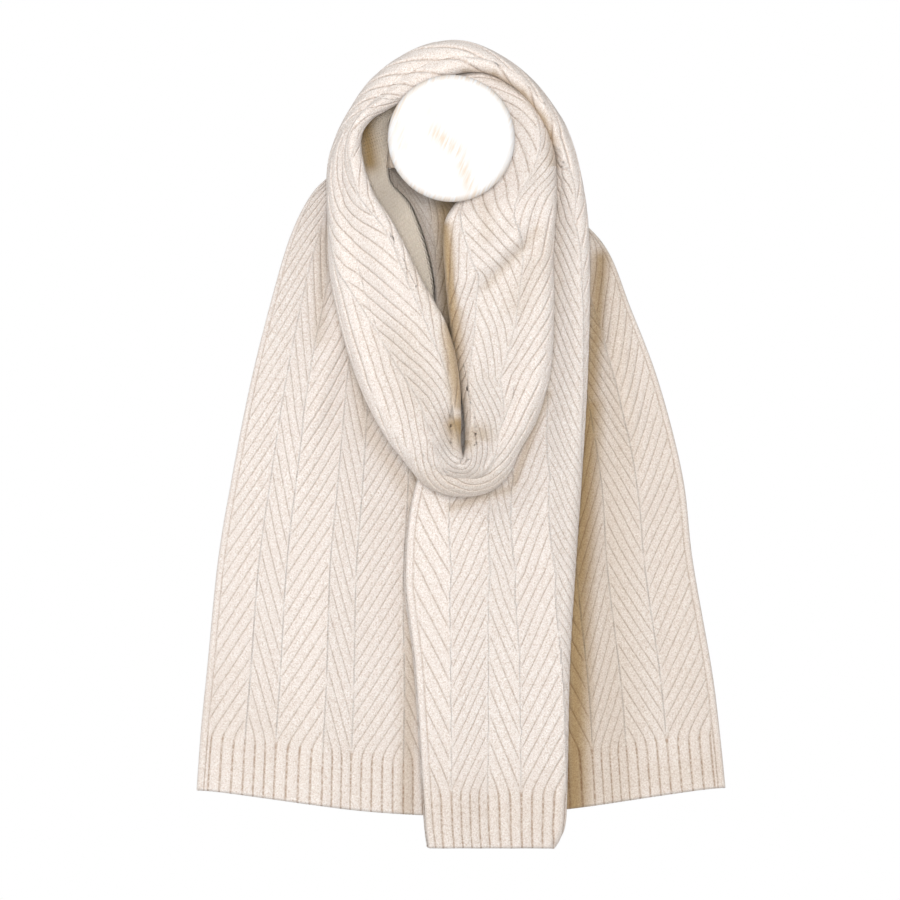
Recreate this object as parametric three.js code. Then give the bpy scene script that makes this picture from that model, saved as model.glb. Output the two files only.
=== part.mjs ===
// A knit scarf with a chevron rib, wound once over the stem of a round wall knob.
// Millimetres, +Z up, +X to the right as seen from the room, -Y towards the viewer.
// The origin is the centre of the knob's wall face, and every `out` is a distance from the wall.
//
// The cloth is one long strip. Its front tail rises on the right, crosses over the stem,
// falls on the left, turns at the foot of the loop, rises again, crosses under itself over
// the stem and falls behind everything as the wide back tail.

import * as THREE from 'three';

// The knob, turned from wood.
const DISC_RADIUS = 47.5;
const DISC_BACK = 54;
const DISC_FRONT = 74;
const DISC_EDGE = 5;
const STEM_RADIUS = 20.5;
const PLATE_RADIUS = 30;
const PLATE_THICKNESS = 4;
const KNOB_SEGMENTS = 40;

// The cloth, a wall with ribs raised on its outer face.
const WALL = 3;
const RIB_HEIGHT = 1.4;
const SKIN = WALL / 2 + RIB_HEIGHT;
const SEAM_GAP = 0.3;

// The chevron: each flank is a column of slanting ribs, and the slant turns at every column.
const RIB_SPACING = 16.5;
const LEVELS_PER_RIB = 3;
const LEVEL = RIB_SPACING / LEVELS_PER_RIB;
const FLANK_RISE = 3 * RIB_SPACING;
const RIB_PROFILE = [0, 1, 1];

// The hem bands, knit in upright ribs.
const HEM_RIB = 8;
const BACK_WIDTH = 400;
const BACK_FLANKS = 13;
const FACE_FLANKS = 4;
const FACE_HEM_RIBS = 15;

// The plain faces have a point this often along the cloth: where it hangs straight, where it
// bends round the loop, and where it lies on the stem.
const STRAIGHT_STEP = 40;
const BEND_STEP = 18;
const STEM_STEP = 7;
const LAYER_PITCH = 4.3;

// Only the loop stands further out from the wall than this, and only it has the loop's folds.
const LOOP_OUT = 50;

// The strand, section by section. o is its outer edge and i its inner edge as seen from the
// front. outI and outO are the front layer's distances from the wall at those two edges, back
// is the back layer's. roll is how far the rounded outer edge reaches inwards, and reach how
// far the back layer runs past the inner edge.
const STRAND = {
  front_hem: [
    { ox: 77, oz: -531, ix: -17, iz: -531, outI: 32.5, outO: 31.5, back: 19.5, roll: 6, reach: -3 },
    { ox: 85, oz: -516, ix: -19, iz: -516, outI: 32.5, outO: 31.5, back: 19.5, roll: 6, reach: -3 },
  ],
  front_tail: [
    { ox: 87, oz: -486, ix: -21, iz: -486, outI: 32.5, outO: 31.5, back: 19.5, roll: 6, reach: -3 },
    { ox: 89, oz: -394, ix: -27, iz: -394, outI: 32.5, outO: 31.5, back: 19.5, roll: 6, reach: -3 },
    { ox: 93, oz: -325, ix: -34, iz: -325, outI: 32.5, outO: 32, back: 19.5, roll: 6, reach: -3 },
    { ox: 98, oz: -252, ix: -25, iz: -255, outI: 32.5, outO: 32.5, back: 19.5, roll: 6.5, reach: -4 },
    { ox: 102, oz: -184, ix: 8, iz: -190, outI: 32.5, outO: 33, back: 19.5, roll: 7, reach: -5 },
  ],
  over_band: [
    { ox: 104, oz: -115, ix: 44, iz: -120, outI: 32.5, outO: 34, back: 19, roll: 8, reach: -4 },
    { ox: 102.5, oz: -60, ix: 70, iz: -63, outI: 32.5, outO: 35, back: 18.5, roll: 8, reach: -2 },
    { ox: 96, oz: -21, ix: 80.5, iz: -21, outI: 35, outO: 38, back: 14, roll: 8, reach: -1 },
    { ox: 88.5, oz: 4, ix: 76.8, iz: 0, outI: 41, outO: 41, back: 9, roll: 7, reach: 0 },
    { ox: 79.5, oz: 21, ix: 69.6, iz: 16, outI: 45, outO: 43, back: 8, roll: 6, reach: 0 },
    { ox: 61, oz: 44.6, ix: 54.5, iz: 35.6, outI: 47, outO: 44, back: 8, roll: 6, reach: 0 },
    { ox: 37, oz: 63, ix: 31.7, iz: 50, outI: 48, outO: 44, back: 8, roll: 7, reach: 0 },
    { ox: 10.5, oz: 73.5, ix: 8.5, iz: 52, outI: 48.5, outO: 44, back: 8, roll: 10, reach: -1 },
    { ox: -15, oz: 72, ix: -12, iz: 44.5, outI: 48.5, outO: 43, back: 8, roll: 12, reach: -1 },
    { ox: -40, oz: 61, ix: -27, iz: 37, outI: 48.5, outO: 43, back: 8, roll: 12, reach: -1 },
    { ox: -62, oz: 43, ix: -43, iz: 27, outI: 48.5, outO: 43, back: 8, roll: 11, reach: 0 },
  ],
  loop_left: [
    { ox: -77, oz: 21, ix: -60, iz: 17, outI: 50, outO: 43, back: 8.5, roll: 9, reach: 11 },
    { ox: -87, oz: 0, ix: -69, iz: 4, outI: 52, outO: 44, back: 11, roll: 9, reach: 20.5 },
    { ox: -93, oz: -24, ix: -69, iz: -14, outI: 54, outO: 45, back: 18, roll: 10, reach: 21 },
    { ox: -92.5, oz: -60, ix: -61, iz: -40, outI: 57, outO: 48, back: 20, roll: 11, reach: 18 },
    { ox: -90, oz: -105, ix: -45, iz: -66, outI: 60, outO: 50, back: 21, roll: 12, reach: 26 },
    { ox: -81, oz: -148, ix: -25, iz: -106, outI: 64, outO: 53, back: 25, roll: 12, reach: 18 },
    { ox: -68, oz: -187, ix: -5, iz: -143, outI: 68, outO: 56, back: 33, roll: 12, reach: -4 },
    { ox: -52, oz: -219, ix: 3, iz: -178, outI: 72, outO: 60, back: 39.5, roll: 12, reach: -9 },
  ],
  loop_foot: [
    { ox: -36, oz: -241, ix: 4.5, iz: -207, outI: 75, outO: 64, back: 39.5, roll: 12, reach: -9 },
    { ox: -18, oz: -261, ix: 4.5, iz: -228, outI: 77, outO: 68, back: 39.5, roll: 12, reach: -9 },
    { ox: 4, oz: -268, ix: 7, iz: -238.5, outI: 78, outO: 70, back: 39.5, roll: 12, reach: -8 },
    { ox: 27, oz: -265, ix: 9.5, iz: -239, outI: 77, outO: 70, back: 39.5, roll: 12, reach: -8 },
    { ox: 43, oz: -252, ix: 11.5, iz: -235, outI: 74, outO: 68, back: 39.5, roll: 12, reach: -8 },
  ],
  loop_right: [
    { ox: 52, oz: -232, ix: 12.5, iz: -226, outI: 70, outO: 65, back: 39.5, roll: 12, reach: -8 },
    { ox: 65, oz: -208, ix: 12, iz: -208, outI: 65, outO: 62, back: 39.5, roll: 12, reach: -6 },
    { ox: 74.5, oz: -172, ix: 8.5, iz: -183, outI: 61, outO: 60, back: 39.5, roll: 12, reach: -6 },
    { ox: 77, oz: -130, ix: 3, iz: -150, outI: 58, outO: 58, back: 39.5, roll: 12, reach: -5 },
    { ox: 76.5, oz: -85, ix: -1.5, iz: -108, outI: 57, outO: 57, back: 39.5, roll: 12, reach: -4 },
    { ox: 79, oz: -45, ix: -2.5, iz: -64, outI: 55, outO: 55, back: 39.5, roll: 12, reach: -4 },
  ],
  inner_band: [
    { ox: 78.5, oz: -20, ix: 16, iz: -36, outI: 48.5, outO: 51, back: 32, roll: 11, reach: -3 },
    { ox: 75, oz: 1, ix: 24, iz: -8, outI: 48, outO: 48, back: 16, roll: 11, reach: -3 },
    { ox: 66.5, oz: 23.5, ix: 23, iz: 8, outI: 48, outO: 46, back: 10, roll: 11, reach: -3 },
    { ox: 48.5, oz: 40.5, ix: 16, iz: 16, outI: 48, outO: 45, back: 9, roll: 11, reach: -3 },
    { ox: 25.5, oz: 51.5, ix: 8, iz: 19.6, outI: 48, outO: 44, back: 9, roll: 10, reach: -2 },
    { ox: 0, oz: 47, ix: -2, iz: 21, outI: 48, outO: 44, back: 9, roll: 9, reach: -2 },
    { ox: -19, oz: 36.5, ix: -12, iz: 17.4, outI: 48, outO: 44, back: 9, roll: 8, reach: -1 },
    { ox: -34, oz: 23, ix: -20, iz: 9, outI: 47, outO: 43, back: 9, roll: 7, reach: -1 },
    { ox: -45, oz: 2, ix: -23, iz: -1, outI: 46, outO: 42, back: 9, roll: 8, reach: -1 },
    { ox: -48.8, oz: -22, ix: -25, iz: -22, outI: 44, outO: 40, back: 9, roll: 8, reach: -1 },
  ],
};

// The back tail, from its hem up: l is its left edge and r its right edge.
const BACK_TAIL = {
  back_hem: [
    { lx: -191, lz: -488, rx: 205.5, rz: -486, out: 9, sag: 20 },
  ],
  back_tail: [
    { lx: -187.5, lz: -440, rx: 200.5, rz: -438, out: 9, sag: 20 },
    { lx: -183, lz: -396, rx: 195, rz: -396, out: 9, sag: 17 },
    { lx: -175, lz: -316, rx: 181, rz: -316, out: 9, sag: 12 },
    { lx: -165, lz: -256, rx: 173.5, rz: -253, out: 9, sag: 8 },
    { lx: -151.5, lz: -187, rx: 156, rz: -184, out: 9, sag: 4 },
    { lx: -137, lz: -128, rx: 135, rz: -128, out: 8.5, sag: 0 },
    { lx: -121, lz: -73.5, rx: 112.5, rz: -76.5, out: 8.5, sag: 0 },
    { lx: -104, lz: -40, rx: 70, rz: -44, out: 8.5, sag: 0 },
    { lx: -84, lz: -22.6, rx: 14, rz: -22.6, out: 9, sag: 0 },
  ],
};

// Folds laid into the cloth: a line from 1 to 2, its half width, and how far it rises.
const LOOP_FOLDS = [
  { x1: 70, z1: -30, x2: 47, z2: -76, half: 8, rise: 4 },
  { x1: 47, z1: -76, x2: 8, z2: -108, half: 8, rise: 4 },
  { x1: 66, z1: -62, x2: 26, z2: -112, half: 7, rise: -3 },
  { x1: -74, z1: -70, x2: -52, z2: -150, half: 12, rise: -3 },
  { x1: -52, z1: -90, x2: -22, z2: -170, half: 12, rise: 3 },
  { x1: -9, z1: -222, x2: -3, z2: -214, half: 11, rise: -9 },
  { x1: -26, z1: -240, x2: 30, z2: -249, half: 8, rise: 3 },
  { x1: 30, z1: -249, x2: 60, z2: -206, half: 8, rise: 3 },
  { x1: 26, z1: -222, x2: 50, z2: -196, half: 10, rise: -4 },
];
const BACK_FOLDS = [
  { x1: -94, z1: -60, x2: -90, z2: -140, half: 8, rise: -3.5 },
  { x1: -82, z1: -130, x2: -104, z2: -206, half: 9, rise: 3.5 },
  { x1: -104, z1: -206, x2: -116, z2: -280, half: 12, rise: 2.5 },
  { x1: -150, z1: -330, x2: -158, z2: -480, half: 22, rise: 2 },
  { x1: -60, z1: -300, x2: -70, z2: -490, half: 22, rise: -2 },
  { x1: 110, z1: -80, x2: 117, z2: -150, half: 7, rise: -3.5 },
  { x1: 108, z1: -84, x2: 133, z2: -209, half: 9, rise: 3.5 },
  { x1: 133, z1: -209, x2: 144, z2: -260, half: 11, rise: 2 },
  { x1: 118, z1: -320, x2: 124, z2: -480, half: 20, rise: -2 },
  { x1: 168, z1: -340, x2: 176, z2: -480, half: 18, rise: 2 },
];

/** Every column of a table at any place along it, on a smooth curve through its rows. */
function throughRows(rows) {
  const names = Object.keys(rows[0]);
  return (t) => {
    const place = THREE.MathUtils.clamp(t, 0, rows.length - 1);
    const i = Math.min(Math.floor(place), rows.length - 2);
    const f = place - i;
    const row = (k) => rows[THREE.MathUtils.clamp(i + k, 0, rows.length - 1)];
    const value = (name) => {
      const [before, start, end, after] = [-1, 0, 1, 2].map((k) => row(k)[name]);
      const bend = 2 * before - 5 * start + 4 * end - after;
      const turn = 3 * (start - end) + after - before;
      return start + 0.5 * f * (end - before + f * (bend + f * turn));
    };
    return Object.fromEntries(names.map((name) => [name, value(name)]));
  };
}

/** A strip of cloth along a table: its section at each length, and the length of each seam. */
function strip(stretches, middle) {
  const perRow = 16;
  const rows = Object.values(stretches).flat();
  const section = throughRows(rows);
  const lengths = [0];
  for (let k = 1; k <= (rows.length - 1) * perRow; k += 1) {
    const step = middle(section(k / perRow)).distanceTo(middle(section((k - 1) / perRow)));
    lengths.push(lengths[k - 1] + step);
  }
  const sectionAt = (v) => {
    let k = lengths.findIndex((length) => length > v);
    if (k < 0) k = lengths.length - 1;
    k = Math.max(k, 1);
    return section((k - 1 + (v - lengths[k - 1]) / (lengths[k] - lengths[k - 1])) / perRow);
  };
  const seams = {};
  let row = 0;
  for (const [name, own] of Object.entries(stretches)) {
    const last = Math.min(row + own.length, rows.length - 1);
    seams[name] = { from: lengths[row * perRow], to: lengths[last * perRow] };
    row += own.length;
  }
  return { sectionAt, seams };
}

/** How far the folds of a table lift the cloth at a place seen from the front. */
function foldRise(folds, x, z) {
  let rise = 0;
  for (const fold of folds) {
    const [dx, dz] = [fold.x2 - fold.x1, fold.z2 - fold.z1];
    const along = ((x - fold.x1) * dx + (z - fold.z1) * dz) / (dx * dx + dz * dz);
    const f = THREE.MathUtils.clamp(along, 0, 1);
    const away = Math.hypot(x - fold.x1 - f * dx, z - fold.z1 - f * dz);
    rise += fold.rise * Math.exp(-((away / fold.half) ** 2));
  }
  return rise;
}

/**
 * A place in the strand's section. From 0 to 1 is the face, which is the front layer and the
 * rounded outer edge, and from 1 to 2 the back layer. A rolled tail goes on from 2 to 6: a
 * turn, a third layer, a turn, and a fourth layer that ends inside.
 */
function strandSection(row, place) {
  const width = Math.hypot(row.ox - row.ix, row.oz - row.iz);
  const rollStart = SKIN + row.roll;
  const backEnd = Math.max(width + row.reach, rollStart + 2);
  const innerEnd = rollStart + 5;
  const turn = LAYER_PITCH / 2;
  const segment = Math.min(Math.floor(place), 5);
  const f = place - segment;
  if (segment <= 0) {
    const flat = Math.hypot(width - rollStart, row.outI - row.outO);
    const depth = (row.outO - row.back) / 2;
    const round = Math.PI * Math.sqrt((row.roll ** 2 + depth ** 2) / 2);
    const s = place * (flat + round);
    if (s < flat) {
      const share = s / flat;
      const ease = share * share * (3 - 2 * share);
      return { inward: width - share * (width - rollStart), ease: 1 - share,
        out: THREE.MathUtils.lerp(row.outI, row.outO, ease) };
    }
    const angle = (Math.PI * (s - flat)) / round;
    return { inward: SKIN + row.roll * (1 - Math.sin(angle)), ease: 0,
      out: row.back + depth * (1 + Math.cos(angle)) };
  }
  const arc = Math.PI * f;
  const places = {
    1: { inward: THREE.MathUtils.lerp(rollStart, backEnd, f), out: row.back },
    2: { inward: backEnd + turn * Math.sin(arc), out: row.back + turn * (1 - Math.cos(arc)) },
    3: { inward: THREE.MathUtils.lerp(backEnd, innerEnd, f), out: row.back + 2 * turn },
    4: { inward: innerEnd - turn * Math.sin(arc), out: row.back + turn * (3 - Math.cos(arc)) },
    5: { inward: THREE.MathUtils.lerp(innerEnd, width - 4, f), out: row.back + 4 * turn },
  };
  return { ease: 0, ...places[segment] };
}

const strand = strip(STRAND, (row) => new THREE.Vector3(
  (row.ox + row.ix) / 2, -(row.outO + row.outI) / 2, (row.oz + row.iz) / 2));

function placeOnStrand(place, v) {
  const row = strand.sectionAt(v);
  const { inward, out, ease } = strandSection(row, place);
  const width = Math.hypot(row.ox - row.ix, row.oz - row.iz);
  const x = row.ox + ((row.ix - row.ox) * inward) / width;
  const z = row.oz + ((row.iz - row.oz) * inward) / width;
  const onLoop = THREE.MathUtils.smoothstep(row.outI, LOOP_OUT, LOOP_OUT + 5);
  const onFront = Math.min(1, ease * 4);
  return new THREE.Vector3(x, -(out + foldRise(LOOP_FOLDS, x, z) * onLoop * onFront), z);
}

const backTail = strip(BACK_TAIL, (row) => new THREE.Vector3(
  (row.lx + row.rx) / 2, -row.out, (row.lz + row.rz) / 2));

function placeOnBackTail(place, v) {
  const row = backTail.sectionAt(v);
  const x = THREE.MathUtils.lerp(row.lx, row.rx, place);
  const hang = row.sag * (4 * place * (1 - place)) ** 1.5;
  const z = THREE.MathUtils.lerp(row.lz, row.rz, place) - hang;
  return new THREE.Vector3(x, -(row.out + foldRise(BACK_FOLDS, x, z)), z);
}

/** 0, 1, 0, 1 ... at the lines between the flanks of the chevron, and straight in between. */
function zigzag(flanks) {
  const f = flanks % 2;
  return f < 1 ? f : 2 - f;
}

/** The height of the slanting ribs at a level, which counts the rib's steps along the length. */
function chevronRelief(level) {
  const step = ((level % LEVELS_PER_RIB) + LEVELS_PER_RIB) % LEVELS_PER_RIB;
  const low = Math.floor(step);
  const high = (low + 1) % LEVELS_PER_RIB;
  return RIB_HEIGHT * THREE.MathUtils.lerp(RIB_PROFILE[low], RIB_PROFILE[high], step - low);
}

/** The points of one column: where they lie along the cloth, and their levels on the ribs. */
function columnStops(column, from, to) {
  const stops = [{ v: from }];
  if (column.chevron === undefined) {
    const count = Math.max(1, Math.round((to - from) / column.step));
    for (let k = 1; k < count; k += 1) stops.push({ v: from + ((to - from) * k) / count });
  } else {
    const shift = column.chevron * FLANK_RISE;
    const near = LEVEL / 4;
    for (let n = Math.ceil((from - shift) / LEVEL); n * LEVEL + shift < to - near; n += 1) {
      if (n * LEVEL + shift > from + near) stops.push({ v: n * LEVEL + shift });
    }
  }
  stops.push({ v: to });
  for (const stop of stops) stop.level = (stop.v - (column.chevron ?? 0) * FLANK_RISE) / LEVEL;
  return stops;
}

/**
 * A closed wall of cloth between two lengths. The columns run along the cloth: those of the
 * outer face carry the ribs, and those of the inner face are plain.
 */
function clothWall({ place, outer, inner, from, to }) {
  const positions = [];
  const triangles = [];
  // The normal of the cloth's middle, and how much it is gathered along its length there.
  const middleAt = (c, v) => {
    const [dc, dv] = [0.004, 0.4];
    const last = outer.at(-1).place;
    const [c0, c1] = [Math.max(c - dc, 0), Math.min(c + dc, last)];
    const across = place(c1, v).sub(place(c0, v));
    const along = place(c, v + dv).sub(place(c, v - dv));
    const spacing = Math.min(1, along.length() / (2 * dv));
    return { normal: across.cross(along).normalize(), spacing };
  };
  const column = (spec, side) => columnStops(spec, from, to).map((stop) => {
    const raised = spec.chevron === undefined ? spec.relief ?? 0 : chevronRelief(stop.level);
    const { normal, spacing } = middleAt(spec.place, stop.v);
    const offset = side * (WALL / 2 + raised * spacing);
    const point = place(spec.place, stop.v).addScaledVector(normal, offset);
    positions.push(point.x, point.y, point.z);
    return { ...stop, id: positions.length / 3 - 1, c: spec.place };
  });
  // Fills the strip between two rows of points, taking the nearer next point each time.
  const zip = (a, b, key, tieToB = true) => {
    let [i, j] = [0, 0];
    while (i < a.length - 1 || j < b.length - 1) {
      const lead = i < a.length - 1 && j < b.length - 1 ? a[i + 1][key] - b[j + 1][key] : 0;
      const tie = Math.abs(lead) < 1e-9;
      const takeB = i === a.length - 1 || (j < b.length - 1 && (tie ? tieToB : lead > 0));
      triangles.push(a[i].id, b[j].id, takeB ? b[j + 1].id : a[i + 1].id);
      if (takeB) j += 1;
      else i += 1;
    }
  };
  const front = outer.map((spec) => column(spec, 1));
  const rear = inner.map((spec) => column(spec, -1));
  const ribbed = (spec) => spec.chevron !== undefined;
  for (let k = 1; k < front.length; k += 1) {
    zip(front[k - 1], front[k], ribbed(outer[k - 1]) && ribbed(outer[k]) ? 'level' : 'v');
  }
  for (let k = 1; k < rear.length; k += 1) zip(rear[k], rear[k - 1], 'v');
  zip(rear[0], front[0], 'v');
  zip(front.at(-1), rear.at(-1), 'v');
  const foot = (columns) => columns.map((points) => points[0]);
  const head = (columns) => columns.map((points) => points.at(-1));
  zip(foot(front), foot(rear), 'c');
  zip(head(rear), head(front), 'c', false);
  const geometry = new THREE.BufferGeometry();
  geometry.setAttribute('position', new THREE.Float32BufferAttribute(positions, 3));
  geometry.setIndex(triangles);
  geometry.computeVertexNormals();
  return geometry;
}

/** Places spread evenly from one place to another, both ends included. */
function spread(from, to, count) {
  return Array.from({ length: count + 1 }, (_, k) => from + ((to - from) * k) / count);
}

// The face of the strand has more columns towards its rounded outer edge.
const FACE_PLACES = [0, 0.125, 0.25, 0.375, 0.5, 0.583, 0.667, 0.75, 0.8, 0.85, 0.9, 0.95, 1];
const BACK_LAYER = [1.5, 2];
const ROLLED_LAYERS = [2, 2.33, 2.67, 3, 4, 4.33, 4.67, 5, 6];

const plainColumns = (places, step) => places.map((place) => ({ place, step }));
const uprightRibs = (count, step) => spread(0, 1, count * 2).map((place, k) => (
  { place, step, relief: k % 2 ? RIB_HEIGHT : 0 }));
const chevronFace = FACE_PLACES.map((place) => (
  { place, chevron: 1 - zigzag(Math.round(place * FACE_FLANKS * 1e3) / 1e3) }));

// The flanks of the back tail that lie behind the front tail are plain.
const HIDDEN_FLANKS = { from: 5, to: 9 };
const backChevron = spread(0, BACK_FLANKS, BACK_FLANKS * 2).map((flank) => (
  flank > HIDDEN_FLANKS.from && flank < HIDDEN_FLANKS.to
    ? { place: flank / BACK_FLANKS, step: STRAIGHT_STEP }
    : { place: flank / BACK_FLANKS, chevron: zigzag(flank) }));

const rolledInside = plainColumns([...FACE_PLACES, ...ROLLED_LAYERS], STRAIGHT_STEP);
const cupped = {
  outer: [...chevronFace, ...plainColumns(BACK_LAYER, BEND_STEP)],
  inner: plainColumns([...FACE_PLACES, ...BACK_LAYER], BEND_STEP),
};
const backInside = plainColumns(spread(0, 1, BACK_FLANKS), STRAIGHT_STEP);
const COLUMNS = {
  front_hem: {
    outer: [...uprightRibs(FACE_HEM_RIBS, BEND_STEP), ...plainColumns(ROLLED_LAYERS, BEND_STEP)],
    inner: plainColumns([...FACE_PLACES, ...ROLLED_LAYERS], BEND_STEP),
  },
  front_tail: {
    outer: [...chevronFace, ...plainColumns(ROLLED_LAYERS, STRAIGHT_STEP)],
    inner: rolledInside,
  },
  over_band: cupped,
  loop_left: cupped,
  loop_foot: cupped,
  loop_right: cupped,
  inner_band: {
    outer: plainColumns([...FACE_PLACES, ...BACK_LAYER], STEM_STEP),
    inner: plainColumns([...FACE_PLACES, ...BACK_LAYER], STEM_STEP),
  },
  back_hem: {
    outer: uprightRibs(Math.round(BACK_WIDTH / HEM_RIB), STRAIGHT_STEP),
    inner: backInside,
  },
  back_tail: { outer: backChevron, inner: backInside },
};

const knit = new THREE.MeshStandardMaterial({ color: 0xd9c8b4, roughness: 0.95, metalness: 0 });
const knitShade = new THREE.MeshStandardMaterial({ color: 0xcdb89e, roughness: 0.95, metalness: 0 });
const paintedWood = new THREE.MeshStandardMaterial({ color: 0xf2f1ee, roughness: 0.55, metalness: 0 });

const scarf = new THREE.Group();

function addMesh(name, geometry, material) {
  const mesh = new THREE.Mesh(geometry, material);
  mesh.name = name;
  scarf.add(mesh);
}

function addStretches(cloth, place, material) {
  const names = Object.keys(cloth.seams);
  names.forEach((name, k) => {
    const from = cloth.seams[name].from + (k > 0 ? SEAM_GAP / 2 : 0);
    const to = cloth.seams[name].to - (k < names.length - 1 ? SEAM_GAP / 2 : 0);
    addMesh(name, clothWall({ place, ...COLUMNS[name], from, to }), material);
  });
}

/** The knob is turned round its stem: wall plate, stem and disc in one profile. */
function knobGeometry() {
  const neck = STEM_RADIUS + DISC_EDGE;
  const profile = [
    [0, 0], [PLATE_RADIUS, 0], [PLATE_RADIUS, PLATE_THICKNESS - 1],
    [PLATE_RADIUS - 2, PLATE_THICKNESS], [STEM_RADIUS, PLATE_THICKNESS],
    [STEM_RADIUS, DISC_BACK - 3], [neck, DISC_BACK],
    [DISC_RADIUS - DISC_EDGE, DISC_BACK], [DISC_RADIUS, DISC_BACK + DISC_EDGE],
    [DISC_RADIUS, DISC_FRONT - DISC_EDGE], [DISC_RADIUS - DISC_EDGE, DISC_FRONT],
    [0, DISC_FRONT + 1],
  ];
  const points = profile.map(([radius, out]) => new THREE.Vector2(radius, out));
  const knob = new THREE.LatheGeometry(points, KNOB_SEGMENTS);
  knob.rotateX(Math.PI);
  return knob;
}

addMesh('wall_knob', knobGeometry(), paintedWood);
addStretches(strand, placeOnStrand, knit);
addStretches(backTail, placeOnBackTail, knitShade);

export default scarf;
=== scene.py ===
# %% [markdown]
# # A knit scarf on a wall knob
#
# The real thing is one long strip of soft heathered knit, wound once over the stem of a round
# wooden knob. Its front tail rises on the right, crosses over the stem, hangs down on the left,
# turns at the foot of a loop, rises again, crosses under itself and fans out behind as the wide
# back tail. The knit has broad ribs that slant one way and then the other, which makes a
# chevron, and upright ribs at both ends.
#
# Each stretch could be sculpted by hand, or simulated as cloth. Here every stretch is a surface
# worked out from a short table of sections, because the folds are few, large and known from
# the photograph, and because the ribs must run over them at their real pitch.

import bpy
import numpy as np
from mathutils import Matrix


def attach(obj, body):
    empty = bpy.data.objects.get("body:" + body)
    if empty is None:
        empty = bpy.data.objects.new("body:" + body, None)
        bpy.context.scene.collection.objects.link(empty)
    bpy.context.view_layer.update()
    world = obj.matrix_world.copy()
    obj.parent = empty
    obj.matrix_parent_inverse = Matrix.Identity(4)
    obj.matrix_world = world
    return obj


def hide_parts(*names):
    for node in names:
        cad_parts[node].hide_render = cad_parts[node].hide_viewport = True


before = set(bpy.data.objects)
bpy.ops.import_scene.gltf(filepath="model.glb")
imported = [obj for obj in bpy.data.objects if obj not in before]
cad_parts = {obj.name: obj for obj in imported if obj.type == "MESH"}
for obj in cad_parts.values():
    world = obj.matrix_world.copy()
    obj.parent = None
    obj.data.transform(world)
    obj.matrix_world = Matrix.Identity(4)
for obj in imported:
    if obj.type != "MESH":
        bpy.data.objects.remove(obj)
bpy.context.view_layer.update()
MM = 0.001

# %% [markdown]
# ## The sections of the strand
#
# The strand is the narrow, folded stretch of the scarf: the front tail, the band over the stem,
# the loop and the inner band. A section is a flattened U of cloth. `ox, oz` is its rounded
# outer edge and `ix, iz` its inner edge as seen from the front. `outI` and `outO` are the front
# layer's distances from the wall at those edges, and `back` is the back layer's. `roll` is how
# far the rounded outer edge reaches inwards, and `reach` how far the back layer runs past the
# inner edge. All are in millimetres, with the origin at the knob's wall face.
#
# Such sections could be drawn as curves and lofted. A table says the same in a few lines, and
# one number of it is easily changed against the photograph.

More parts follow.
